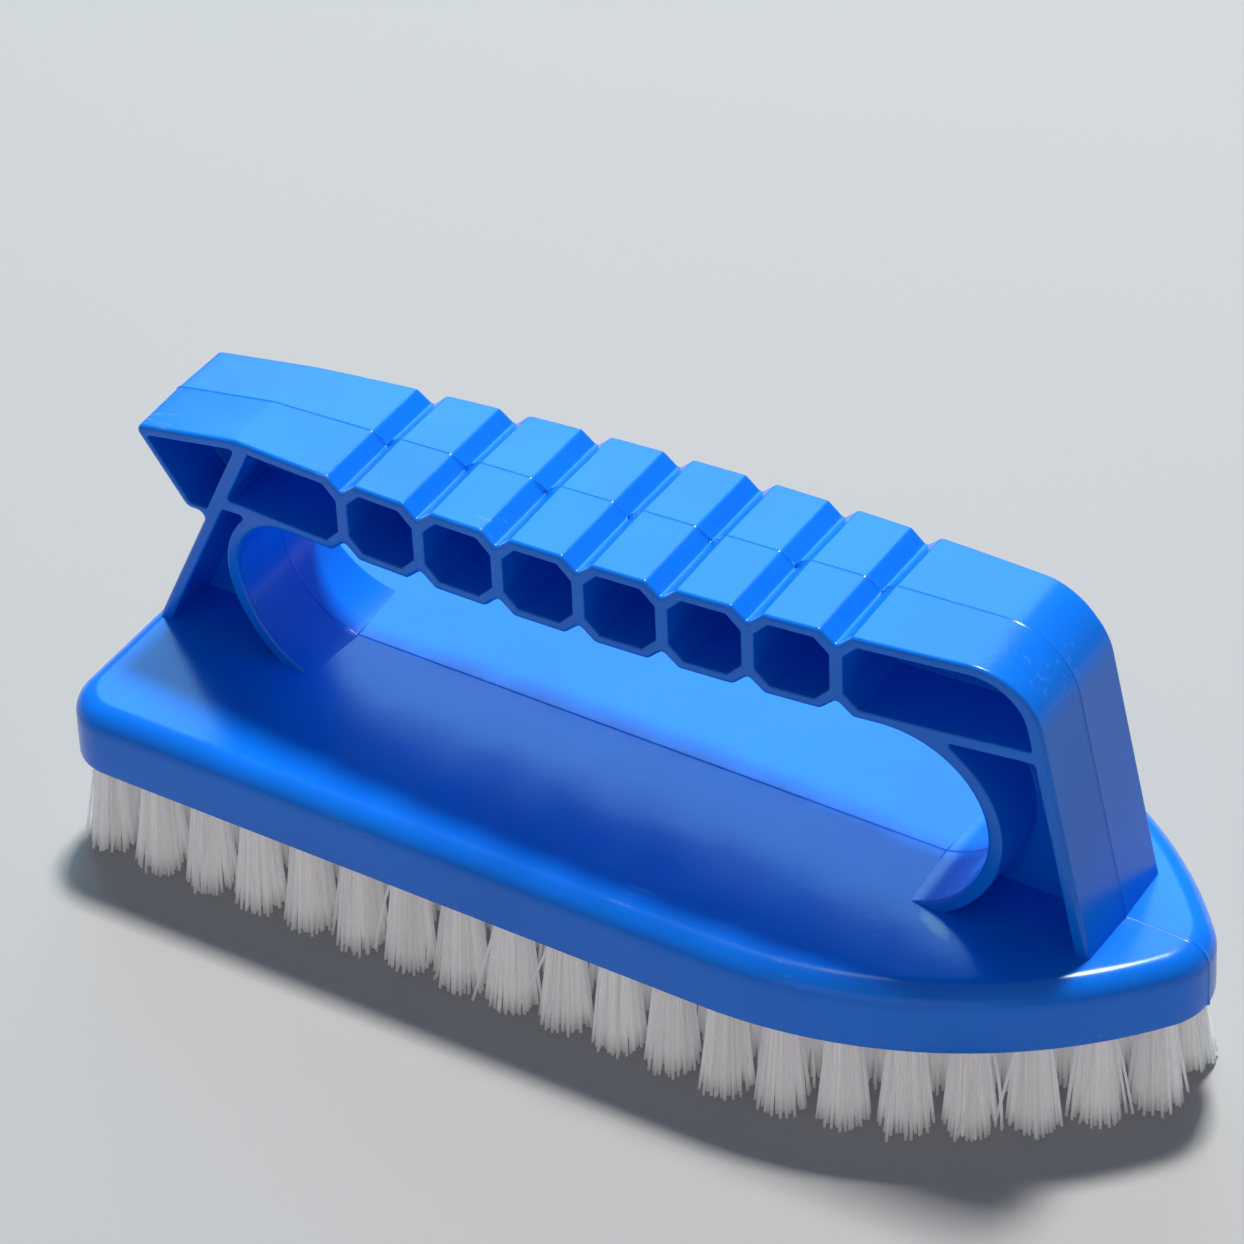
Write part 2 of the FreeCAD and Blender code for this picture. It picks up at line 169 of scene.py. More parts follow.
def rounded_loop(corners, spacing=2.4):
    """A counter-clockwise closed polyline through (u, v, radius) corners, rounded and evenly divided."""
    count = len(corners)
    points = [np.array(corner[:2], float) for corner in corners]
    outline = []
    for i, (_, _, radius) in enumerate(corners):
        here, before, after = points[i], points[i - 1], points[(i + 1) % count]
        if radius == 0:
            outline.append(here)
            continue
        back = (before - here) / np.linalg.norm(before - here)
        ahead = (after - here) / np.linalg.norm(after - here)
        half_angle = math.acos(np.clip(back @ ahead, -1, 1)) / 2
        reach = radius / math.tan(half_angle)
        centre = here + (back + ahead) / np.linalg.norm(back + ahead) * radius / math.sin(half_angle)
        start, end = here + back * reach - centre, here + ahead * reach - centre
        turn = math.pi - 2 * half_angle
        steps = max(3, math.ceil(turn / math.radians(15)), math.ceil(turn * radius))
        for k in range(steps + 1):
            share = k / steps
            weight = (math.sin((1 - share) * turn), math.sin(share * turn))
            outline.append(centre + (weight[0] * start + weight[1] * end) / math.sin(turn))
    loop = []
    for i, here in enumerate(outline):
        ahead = outline[(i + 1) % len(outline)] - here
        length = np.linalg.norm(ahead)
        if length < 1e-4:
            continue
        pieces = max(1, math.ceil(length / spacing))
        loop += [here + ahead * k / pieces for k in range(pieces)]
    loop = np.array(loop)
    return loop if signed_area(loop) > 0 else loop[::-1]


def signed_area(loop):
    ahead = np.roll(loop, -1, 0)
    return 0.5 * np.sum(loop[:, 0] * ahead[:, 1] - ahead[:, 0] * loop[:, 1])


def grown(loop, distance):
    """The counter-clockwise loop moved outwards; distance is a number or one per point."""
    ahead = np.roll(loop, -1, 0) - loop
    ahead /= np.linalg.norm(ahead, axis=1)[:, None]
    normal = np.stack([ahead[:, 1], -ahead[:, 0]], 1)
    before = np.roll(normal, 1, 0)
    mitre = (normal + before) / (1 + np.sum(normal * before, 1))[:, None]
    return loop + mitre * np.broadcast_to(distance, len(loop))[:, None]


def inside(points, loop):
    """Which points lie inside a loop, by counting crossings."""
    x, y = points[:, 0][:, None], points[:, 1][:, None]
    ahead = np.roll(loop, -1, 0)
    x1, y1, x2, y2 = loop[:, 0], loop[:, 1], ahead[:, 0], ahead[:, 1]
    spans = (y1 > y) != (y2 > y)
    with np.errstate(divide="ignore", invalid="ignore"):
        crossing = x < (x2 - x1) * (y - y1) / (y2 - y1) + x1
    return np.sum(spans & crossing, 1) % 2 == 1


def fill(outer, holes=(), extra=()):
    """Index triples of the triangles between loops; the points are the loops' and then the extra ones.

    The triangles are gathered into regions that loops part, and a region is judged by its largest triangle.
    """
    loops = [outer, *holes]
    edges, first = [], 0
    for loop in loops:
        edges += [(first + i, first + (i + 1) % len(loop)) for i in range(len(loop))]
        first += len(loop)
    points = [Vector(p) for part in (*loops, extra) for p in part]
    made = delaunay_2d_cdt(points, edges, [], 0, 1e-6)
    source = [origins[0] for origins in made[3]]
    triples = np.array([[source[i] for i in face] for face in made[2]])

    borders = {frozenset(edge) for edge in edges}
    sides = [[frozenset(pair) for pair in ((a, b), (b, c), (c, a))] for a, b, c in triples.tolist()]
    owners = {}
    for triangle, its_sides in enumerate(sides):
        for side in its_sides:
            owners.setdefault(side, []).append(triangle)
    corners = np.array(points)[triples]
    (ux, uy), (vx, vy) = (corners[:, 1] - corners[:, 0]).T, (corners[:, 2] - corners[:, 0]).T
    areas = np.abs(ux * vy - uy * vx)
    seen, kept = set(), []
    for seed in range(len(triples)):
        if seed in seen:
            continue
        seen.add(seed)
        region = [seed]
        for triangle in region:
            for side in sides[triangle]:
                if side not in borders:
                    fresh = [t for t in owners[side] if t not in seen]
                    seen.update(fresh)
                    region += fresh
        largest = max(region, key=lambda t: areas[t])
        middle = corners[largest].mean(0)[None]
        if inside(middle, outer)[0] and not any(inside(middle, hole)[0] for hole in holes):
            kept += region
    return triples[kept]


# ---------------------------------------------------------------- mesh assembly
class Shell:
    """Collects loops of vertices and the faces between them, then makes one closed mesh."""

    def __init__(self):
        self.vertices, self.faces, self.flat_faces = [], [], []

    def add(self, points):
        first = len(self.vertices)
        self.vertices += [tuple(p) for p in points]
        return np.arange(first, first + len(points))

    def strip(self, rows):
        """Quads between neighbouring index loops of one length."""
        for lower, upper in zip(rows, rows[1:]):
            for a, b, c, d in zip(lower, np.roll(lower, -1), np.roll(upper, -1), upper):
                self.faces.append((a, b, c, d))

    def triangles(self, indices, triples, flat=False):
        """Faces from index triples into a list of vertices; flat ones are shaded flat."""
        if flat:
            self.flat_faces += range(len(self.faces), len(self.faces) + len(triples))
        self.faces += [tuple(indices[triple]) for triple in triples]

    def build(self, name):
        mesh = bpy.data.meshes.new(name)
        faces = [tuple(map(int, face)) for face in self.faces]
        mesh.from_pydata([Vector(v) * MM for v in self.vertices], [], faces)
        solid = bmesh.new()
        solid.from_mesh(mesh)
        bmesh.ops.recalc_face_normals(solid, faces=solid.faces)
        solid.to_mesh(mesh)
        solid.free()
        mesh.shade_smooth()
        for face in self.flat_faces:
            mesh.polygons[face].use_smooth = False
        piece = bpy.data.objects.new(name, mesh)
        bpy.context.scene.collection.objects.link(piece)
        weighted = piece.modifiers.new("even_shading", "WEIGHTED_NORMAL")
        weighted.mode = "FACE_AREA_WITH_ANGLE"
        return piece


# ---------------------------------------------------------------- handle
def half_width(x):
    """The handle's half width in plan at each x."""
    sagitta = GRIP_HALF_WIDTH - LEG_HALF_WIDTH
    radius = (BULGE_HALF_LENGTH**2 + sagitta**2) / (2 * sagitta)
    away = np.minimum(np.abs(x - BULGE_CENTRE_X), BULGE_HALF_LENGTH)
    return GRIP_HALF_WIDTH - radius + np.sqrt(radius**2 - away**2)


def v_corners(a_line, x, depth):
    left, right = x - GROOVE_HALF_WIDTH, x + GROOVE_HALF_WIDTH
    return [
        (left, z_at(a_line, left), SHOULDER_RADIUS),
        (x, z_at(a_line, x) + depth, ROOT_RADIUS),
        (right, z_at(a_line, right), SHOULDER_RADIUS),
    ]


def handle_loop():
    corners = [
        (x_at(REAR_LEG, HIDDEN_FOOT), HIDDEN_FOOT, 0),
        (x_at(REAR_LEG, HOOK_TIP[1]), HOOK_TIP[1], HOOK_NOTCH_RADIUS),
        (*HOOK_TIP, HOOK_TIP_RADIUS),
        (*meet(HOOK_WALL, HOOK_TOP), HOOK_END_RADIUS),
        (*CREASE, CREASE_RADIUS),
    ]
    for x in GROOVE_XS:
        corners += v_corners(GRIP_TOP, x, -GROOVE_DEPTH)
    corners.append((*meet(GRIP_TOP, FRONT_LEG), FRONT_CORNER_RADIUS))
    corners.append((x_at(FRONT_LEG, HIDDEN_FOOT), HIDDEN_FOOT, 0))
    return rounded_loop(corners)


TILT = math.degrees(math.atan(GRIP_UNDERSIDE_SLOPE))
REAR_UPPER_X = REAR_ARCH_X + REAR_ARCH_UPPER_RADIUS
REAR_ARCH_Z = z_at(shifted(GRIP_UNDERSIDE, REAR_ARCH_UPPER_RADIUS), REAR_UPPER_X)
REAR_LOWER_RADIUS = REAR_ARCH_Z + ARCH_DIP
REAR_LOWER_X = REAR_ARCH_X + REAR_LOWER_RADIUS
FRONT_ARCH_RADIUS = (z_at(GRIP_UNDERSIDE, FRONT_ARCH_X - REAR_ARCH_Z) + ARCH_DIP) / 2
FRONT_ARCH = (FRONT_ARCH_X - FRONT_ARCH_RADIUS, FRONT_ARCH_RADIUS - ARCH_DIP)


def sink_angle(centre_z, radius, floor):
    """How far below the horizontal an arc has turned when it reaches a height."""
    return math.degrees(math.asin((centre_z - floor) / radius))


def opening_loop():
    rear_end = 180 + sink_angle(REAR_ARCH_Z, REAR_LOWER_RADIUS, 0)
    front_start = -sink_angle(FRONT_ARCH[1], FRONT_ARCH_RADIUS, 0)
    rear = arc_points((REAR_UPPER_X, REAR_ARCH_Z), REAR_ARCH_UPPER_RADIUS, 90 + TILT, 180)
    rear += arc_points((REAR_LOWER_X, REAR_ARCH_Z), REAR_LOWER_RADIUS, 180, rear_end)[1:]
    front = arc_points(FRONT_ARCH, FRONT_ARCH_RADIUS, front_start, 90 + TILT)
    floor = [(rear[-1][0], HIDDEN_FLOOR, 0), (front[0][0], HIDDEN_FLOOR, 0)]
    roof = []
    for x in reversed(GROOVE_XS):
        roof += v_corners(GRIP_UNDERSIDE, x, GROOVE_DEPTH)[::-1]
    return rounded_loop(rear + floor + front + roof)


def divider_side(x, direction):
    near = x + direction * DIVIDER / 2
    far = near + direction * CELL_CHAMFER
    return [
        (far, z_at(GRIP_CEILING, far), CELL_CORNER),
        (near, z_at(GRIP_CEILING, near) - CELL_CHAMFER, CELL_CORNER),
        (near, z_at(GRIP_FLOOR, near) + CELL_CHAMFER, CELL_CORNER),
        (far, z_at(GRIP_FLOOR, far), CELL_CORNER),
    ]


def leg_side(leg_inside, ceiling_radius):
    return [(*meet(GRIP_CEILING, leg_inside), ceiling_radius), (*meet(GRIP_FLOOR, leg_inside), CELL_CORNER)]


def grip_cell_loops():
    left_sides = [leg_side(REAR_LEG_INSIDE, CELL_CORNER)] + [divider_side(x, 1) for x in GROOVE_XS]
    right_sides = [divider_side(x, -1) for x in GROOVE_XS]
    right_sides.append(leg_side(FRONT_LEG_INSIDE, FRONT_CORNER_RADIUS - FRONT_LEG_WALL))
    return [rounded_loop(left[::-1] + right) for left, right in zip(left_sides, right_sides)]


def hook_cell_loop():
    floor_z = HOOK_TIP[1] + HOOK_FLOOR
    return rounded_loop([
        (x_at(REAR_LEG, floor_z), floor_z, CELL_CORNER),
        (x_at(HOOK_INSIDE, floor_z), floor_z, CELL_CORNER),
        (*meet(HOOK_INSIDE, HOOK_CEILING), CELL_CORNER),
        (*meet(HOOK_CEILING, REAR_LEG), CELL_CORNER),
    ])


def roof_angle(centre, radius):
    """How far past the vertical, from the roof's normal, a circle crosses the line of the roof."""
    x, z, dx, dz = GRIP_UNDERSIDE
    return math.degrees(math.acos(((z - centre[1]) * dx - (x - centre[0]) * dz) / radius))


def arch_end(centre, radius, direction):
    """The angle in degrees at which a pocket's arch turns straight, a little before it meets the roof."""
    return 90 + TILT + direction * (roof_angle(centre, radius) + ARCH_STRAIGHT_TURN)


def pocket_loop(leg_inside, arch, centre, radius, direction):
    """A pocket between a leg and an arch; direction is +1 where the arch lies on the +X side of the leg.

    The arch's last stretch before the roof is straight, so that the narrow corner there can be rounded.
    """
    top = math.radians(arch_end(centre, radius, direction))
    end = (centre[0] + radius * math.cos(top), centre[1] + radius * math.sin(top))
    tangent = line(*end, direction * math.sin(top), -direction * math.cos(top))
    return rounded_loop([
        (arch[0][0], HIDDEN_FLOOR, 0),
        *arch,
        (*meet(tangent, GRIP_UNDERSIDE), CELL_CORNER),
        (*meet(leg_inside, GRIP_UNDERSIDE), CELL_CORNER),
        (x_at(leg_inside, HIDDEN_FLOOR), HIDDEN_FLOOR, 0),
    ])


def rear_pocket_loop():
    upper, lower = REAR_ARCH_UPPER_RADIUS + ARCH_WALL, REAR_LOWER_RADIUS + ARCH_WALL
    centre = (REAR_UPPER_X, REAR_ARCH_Z)
    foot = 180 + sink_angle(REAR_ARCH_Z, lower, 0)
    arch = arc_points((REAR_LOWER_X, REAR_ARCH_Z), lower, foot, 180)
    arch += arc_points(centre, upper, 180, arch_end(centre, upper, 1))[1:]
    return pocket_loop(REAR_LEG_INSIDE, arch, centre, upper, 1)


def front_pocket_loop():
    radius = FRONT_ARCH_RADIUS + ARCH_WALL
    foot = -sink_angle(FRONT_ARCH[1], radius, 0)
    arch = arc_points(FRONT_ARCH, radius, foot, arch_end(FRONT_ARCH, radius, -1))
    return pocket_loop(FRONT_LEG_INSIDE, arch, FRONT_ARCH, radius, -1)


def edge_rows(radius, steps=4):
    """The quarter round of an edge: how far in from the side face, and how far sideways."""
    rows = []
    for k in range(steps + 1):
        turn = math.pi / 2 * k / steps
        rows.append((radius * (1 - math.sin(turn)), radius * (1 - math.cos(turn))))
    return rows


def handle_vertices(loop, growth, side, from_face=None, from_middle=None):
    """The loop grown in its plane, at a distance in from the side face or out from the middle plane."""
    flat = grown(loop, growth)
    reach = half_width(flat[:, 0])
    y = reach - from_face if from_middle is None else np.full(len(flat), float(from_middle))
    return np.stack([flat[:, 0], side * y, flat[:, 1] + BLOCK_TOP / MM], 1)


def through_wall(shell, loop, outward):
    """A wall that runs from one side face to the other, with the mould's parting flash in the middle.

    outward is +1 where the plastic is inside the loop and -1 where it is outside.
    """
    in_groove = np.zeros(len(loop), bool)
    for x in GROOVE_XS if outward > 0 else []:
        near_root = np.abs(loop[:, 0] - x) < GROOVE_HALF_WIDTH - BURR_CLEARANCE
        in_groove |= near_root & (loop[:, 1] > HOOK_TIP[1])
    burrs = in_groove * rng.uniform(0, BURR_HEIGHT, len(loop))

    def half(side):
        rows = []
        for inset, sideways in edge_rows(OUTER_EDGE_RADIUS)[::-1]:
            growth = outward * (CREST - DRAFT - sideways)
            rows.append(shell.add(handle_vertices(loop, growth, side, from_face=inset)))
        rows.append(shell.add(handle_vertices(loop, outward * CREST, side, from_middle=FLASH_HALF_WIDTH)))
        crest = outward * (CREST + FLASH_HEIGHT + burrs)
        rows.append(shell.add(handle_vertices(loop, crest, side, from_middle=FLASH_HALF_WIDTH / 3)))
        return rows

    near, far = half(-1), half(1)
    shell.strip(near + far[::-1])
    return near[0], far[0]


def blind_cell(shell, loop, side):
    """The walls and web of one cell on one side. Returns the rim in the side face."""
    rows = [shell.add(handle_vertices(loop, -DRAFT - WEB_FILLET, side, from_middle=WEB / 2))]
    for k in (1, 2, 3):
        turn = math.pi / 2 * k / 3
        sideways = -DRAFT - WEB_FILLET * (1 - math.sin(turn))
        height = WEB / 2 + WEB_FILLET * (1 - math.cos(turn))
        rows.append(shell.add(handle_vertices(loop, sideways, side, from_middle=height)))
    for inset, sideways in edge_rows(CELL_EDGE_RADIUS):
        rows.append(shell.add(handle_vertices(loop, sideways, side, from_face=inset)))
    shell.strip(rows)
    shell.triangles(rows[0], fill(grown(loop, -DRAFT - WEB_FILLET)), flat=True)
    return rows[-1]


def make_handle():
    shell = Shell()
    outer, opening = handle_loop(), opening_loop()
    cells = grip_cell_loops() + [hook_cell_loop(), rear_pocket_loop(), front_pocket_loop()]
    outer_rims = through_wall(shell, outer, 1)
    opening_rims = through_wall(shell, opening, -1)
    for side, outer_rim, opening_rim in zip((-1, 1), outer_rims, opening_rims):
        rims = [outer_rim, opening_rim] + [blind_cell(shell, loop, side) for loop in cells]
        flat = [np.array([(shell.vertices[i][0], shell.vertices[i][2]) for i in rim]) for rim in rims]
        shell.triangles(np.concatenate(rims), fill(flat[0], flat[1:]))
    return shell.build("handle_moulding")


# ---------------------------------------------------------------- block
def block_loop(growth, flash):
    """The block's outline moved outwards, with the seam's flash at nose and rear."""
    half = BLOCK_HIGH.y / MM
    rear, nose = BLOCK_LOW.x / MM, BLOCK_HIGH.x / MM - NOSE_RADIUS
    flank_drop = FLANK_RADIUS - half
    flank_x = nose - math.sqrt((FLANK_RADIUS - NOSE_RADIUS) ** 2 - flank_drop**2)
    nose_turn = math.degrees(math.atan2(flank_drop, nose - flank_x))
    corner = REAR_CORNER_RADIUS

    def arc(x, y, radius, start, end, count):
        angles = np.radians(np.linspace(start, end, count + 1))
        return np.stack([x + (radius + growth) * np.cos(angles), y + (radius + growth) * np.sin(angles)], 1)

    tip, tail = nose + NOSE_RADIUS + growth, rear - growth
    ridge = FLASH_HALF_WIDTH / 3
    side_xs = np.linspace(flank_x, rear + corner, 34)[1:-1]
    rear_ys = np.linspace(half - corner, FLASH_HALF_WIDTH, 11)[1:]
    left = np.concatenate([
        [(tip + flash, ridge), (tip, FLASH_HALF_WIDTH)],
        arc(nose, 0, NOSE_RADIUS, 4, nose_turn, 8),
        arc(flank_x, -flank_drop, FLANK_RADIUS, nose_turn, 90, 24)[1:],
        np.stack([side_xs, np.full(len(side_xs), half + growth)], 1),
        arc(rear + corner, half - corner, corner, 90, 180, 10),
        np.stack([np.full(len(rear_ys), tail), rear_ys], 1),
        [(tail - flash, ridge)],
    ])
    return np.concatenate([left, left[::-1] * (1, -1)])


def block_rows():
    """One row per level: height above the underside, growth, and how far the flash stands out and up."""
    height = (BLOCK_HIGH.z - BLOCK_LOW.z) / MM
    inset_all = -2 * FLASH_HEIGHT
    rows = []
    for inset, sideways in edge_rows(BOTTOM_EDGE_RADIUS, 3)[::-1]:
        rows.append((inset, inset_all - sideways, 2 * FLASH_HEIGHT, 0))
    rows.append((BOTTOM_EDGE_RADIUS + LOWER_BAND, inset_all, FLASH_HEIGHT, 0))
    steps = 9
    for k, (inset, sideways) in enumerate(edge_rows(TOP_EDGE_RADIUS, steps)):
        turn = math.pi / 2 * k / steps
        growth = inset_all - MOULD_STEP - sideways
        rows.append((height - inset, growth, FLASH_HEIGHT * math.cos(turn), FLASH_HEIGHT * math.sin(turn)))
    return rows


def tuft_layout():
    """Every CAD tuft, by node: root centre, tip centre and tip radius, in millimetres."""
    layout = {}
    for name, node in sorted(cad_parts.items()):
        if not name.startswith("tufts_"):
            continue
        solid = bmesh.new()
        solid.from_mesh(node.data)
        bmesh.ops.remove_doubles(solid, verts=solid.verts, dist=1e-6)
        unseen, tufts = set(solid.verts), []
        while unseen:
            front = [unseen.pop()]
            island = list(front)
            while front:
                vertex = front.pop()
                for edge in vertex.link_edges:
                    other = edge.other_vert(vertex)
                    if other in unseen:
                        unseen.remove(other)
                        front.append(other)
                        island.append(other)
            points = np.array([v.co for v in island]) / MM
            top, tip = points[points[:, 2] > points[:, 2].max() - 0.01], points[points[:, 2] < 0.01]
            tip_box = (tip.min(0) + tip.max(0)) / 2
            tufts.append(((top.min(0) + top.max(0)) / 2, tip_box, (tip[:, 0].max() - tip[:, 0].min()) / 2))
        solid.free()
        layout[name] = sorted(tufts, key=lambda t: (t[0][0], t[0][1]))
    return layout


def make_block(layout):
    shell = Shell()
    base = BLOCK_LOW.z / MM
    rows = []
    for height, growth, flash_out, flash_up in block_rows():
        flat = block_loop(growth, flash_out)
        lift = flash_up * (np.abs(flat[:, 1]) < FLASH_HALF_WIDTH / 2)
        rows.append(shell.add(np.column_stack([flat, base + height + lift])))
    shell.strip(rows)

    top_rim = np.array([shell.vertices[i][:2] for i in rows[-1]])
    seam_end, seam_step, rim_clearance = 1.5, 2.5, 2
    seam_xs = np.arange(top_rim[:, 0].min() + seam_end, top_rim[:, 0].max() - seam_end, seam_step)
    seam = [(x, y) for y in FLASH_HALF_WIDTH * np.array([-1, -1 / 3, 1 / 3, 1]) for x in seam_xs]
    grid = np.array([(x, y) for x in np.arange(-84, 80, 7.0) for y in np.arange(-33, 34, 6.0)])
    extra = np.concatenate([seam, grid[inside(grid, grown(top_rim, -rim_clearance))]])
    level = BLOCK_TOP / MM + FLASH_HEIGHT * (np.abs(extra[:, 1]) < FLASH_HALF_WIDTH / 2)
    top = np.concatenate([rows[-1], shell.add(np.column_stack([extra, level]))])
    shell.triangles(top, fill(top_rim, extra=extra))

    turns = np.radians(np.arange(0, 360, 18))
    circle = np.stack([np.cos(turns), np.sin(turns)], 1)
    mouth_radius = HOLE_RADIUS + HOLE_CHAMFER
    levels = ((mouth_radius, 0), (HOLE_RADIUS, HOLE_CHAMFER), (HOLE_RADIUS, HOLE_DEPTH))
    mouths, mouth_rims = [], []
    for root, _, _ in [tuft for tufts in layout.values() for tuft in tufts]:
        rings = []
        for radius, height in levels:
            ring = root[:2] + circle * radius
            rings.append(shell.add(np.column_stack([ring, np.full(len(ring), base + height)])))
        shell.strip(rings)
        shell.faces.append(tuple(rings[-1]))
        mouths.append(root[:2] + circle * mouth_radius)
        mouth_rims.append(rings[0])
    bottom_rim = np.array([shell.vertices[i][:2] for i in rows[0]])
    shell.triangles(np.concatenate([rows[0]] + mouth_rims), fill(bottom_rim, mouths))
    return shell.build("block_moulding")


# ---------------------------------------------------------------- filaments
def filament_paths(root, tip, tip_radius, count, knots):
    """Centre lines of one tuft's filaments, as an array of filament, knot and xyz, in millimetres."""
    order = np.arange(count) + 0.5
    share = np.sqrt(order / count)
    angle = order * math.pi * (3 - math.sqrt(5)) + rng.uniform(0, 2 * math.pi)
    across = np.stack([np.cos(angle), np.sin(angle)], 1)
    start = root[:2] + across * (share * (HOLE_RADIUS - FILAMENT_RADIUS - ROOT_CLEARANCE))[:, None]
    spread = share * (tip_radius - FILAMENT_RADIUS) * rng.normal(1.02, 0.06, count)
    end = tip[:2] + across * spread[:, None] + rng.normal(0, TIP_SCATTER, (count, 2))
    stray = rng.random(count) < STRAY_SHARE
    end += stray[:, None] * rng.normal(0, STRAY_REACH, (count, 2))
    tip_height = np.abs(rng.normal(0, TIP_UNEVENNESS, count)) + CROWN * share**3 + TIP_CLEARANCE
    tip_height += stray * rng.uniform(0, STRAY_LIFT, count)
    bow = rng.normal(0, BOW, (count, 2)) + stray[:, None] * rng.normal(0, STRAY_BOW, (count, 2))

    along = np.linspace(0, 1, knots)[None, :, None]
    top = BLOCK_LOW.z / MM + ROOT_DEPTH
    flat = start[:, None] + (end - start)[:, None] * along**FLARE_POWER
    flat = flat + bow[:, None] * np.sin(math.pi * along)
    height = top + (tip_height - top)[:, None, None] * along
    return np.concatenate([flat, height], 2)


def tubes(paths, radius, sides):
    """Vertices and quads of thin tubes along the paths, with flat ends at the tips."""
    count, knots, _ = paths.shape
    turn = np.arange(sides) * 2 * math.pi / sides
    phase = rng.uniform(0, 2 * math.pi, count)
    ring_x = np.cos(turn[None] + phase[:, None]) * radius
    ring_y = np.sin(turn[None] + phase[:, None]) * radius
    rings = paths[:, :, None, :].repeat(sides, 2)
    rings[..., 0] += ring_x[:, None, :]
    rings[..., 1] += ring_y[:, None, :]
    vertices = rings.reshape(-1, 3)

    first = (np.arange(count) * knots * sides)[:, None, None]
    level = (np.arange(knots - 1) * sides)[None, :, None]
    corner = np.arange(sides)[None, None, :]
    nxt = (corner + 1) % sides
    quads = np.stack([
        first + level + corner,
        first + level + sides + corner,
        first + level + sides + nxt,
        first + level + nxt,
    ], -1).reshape(-1, 4)
    caps = (np.arange(count) * knots + knots - 1)[:, None] * sides + np.arange(sides)[None]
    return vertices, quads, caps[:, ::-1]


def make_tufts(name, tufts):
    outer = "_outer_" in name
    count, knots, sides = (OUTER_FILAMENTS, 6, 6) if outer else (INNER_FILAMENTS, 4, 5)
    paths = np.concatenate([filament_paths(*tuft, count, knots) for tuft in tufts])
    low, high = (np.array(corner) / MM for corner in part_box(name))
    low, high = low + FILAMENT_RADIUS, high - FILAMENT_RADIUS
    for axis in (0, 1):
        paths[..., axis] = np.clip(paths[..., axis], low[axis], high[axis])
    vertices, quads, caps = tubes(paths, FILAMENT_RADIUS, sides)

    mesh = bpy.data.meshes.new(name.replace("tufts", "filaments"))
    mesh.from_pydata(vertices * MM, [], quads.tolist() + caps.tolist())
    mesh.shade_smooth()
    mesh.polygons.foreach_set("use_smooth", np.arange(len(mesh.polygons)) < len(quads))
    piece = bpy.data.objects.new(mesh.name, mesh)
    bpy.context.scene.collection.objects.link(piece)
    return piece


# ---------------------------------------------------------------- materials
def node_material(name):
    material = bpy.data.materials.new(name)
    material.use_nodes = True
    nodes, links = material.node_tree.nodes, material.node_tree.links
    shader = nodes["Principled BSDF"]

    def add(kind, **settings):
        node = nodes.new(kind)
        for key, value in settings.items():
            if key in node.inputs:
                node.inputs[key].default_value = value
            else:
                setattr(node, key, value)
        return node

    return material, add, links, shader


def ramp(node, stops):
    """Sets a colour ramp's stops, as (position, grey or colour)."""
    elements = node.color_ramp.elements
    while len(elements) > 1:
        elements.remove(elements[-1])
    for i, (position, colour) in enumerate(stops):
        element = elements[0] if i == 0 else elements.new(position)
        element.position = position
        value = (colour,) * 3 if isinstance(colour, (int, float)) else colour
        element.color = (*value, 1)
    return node


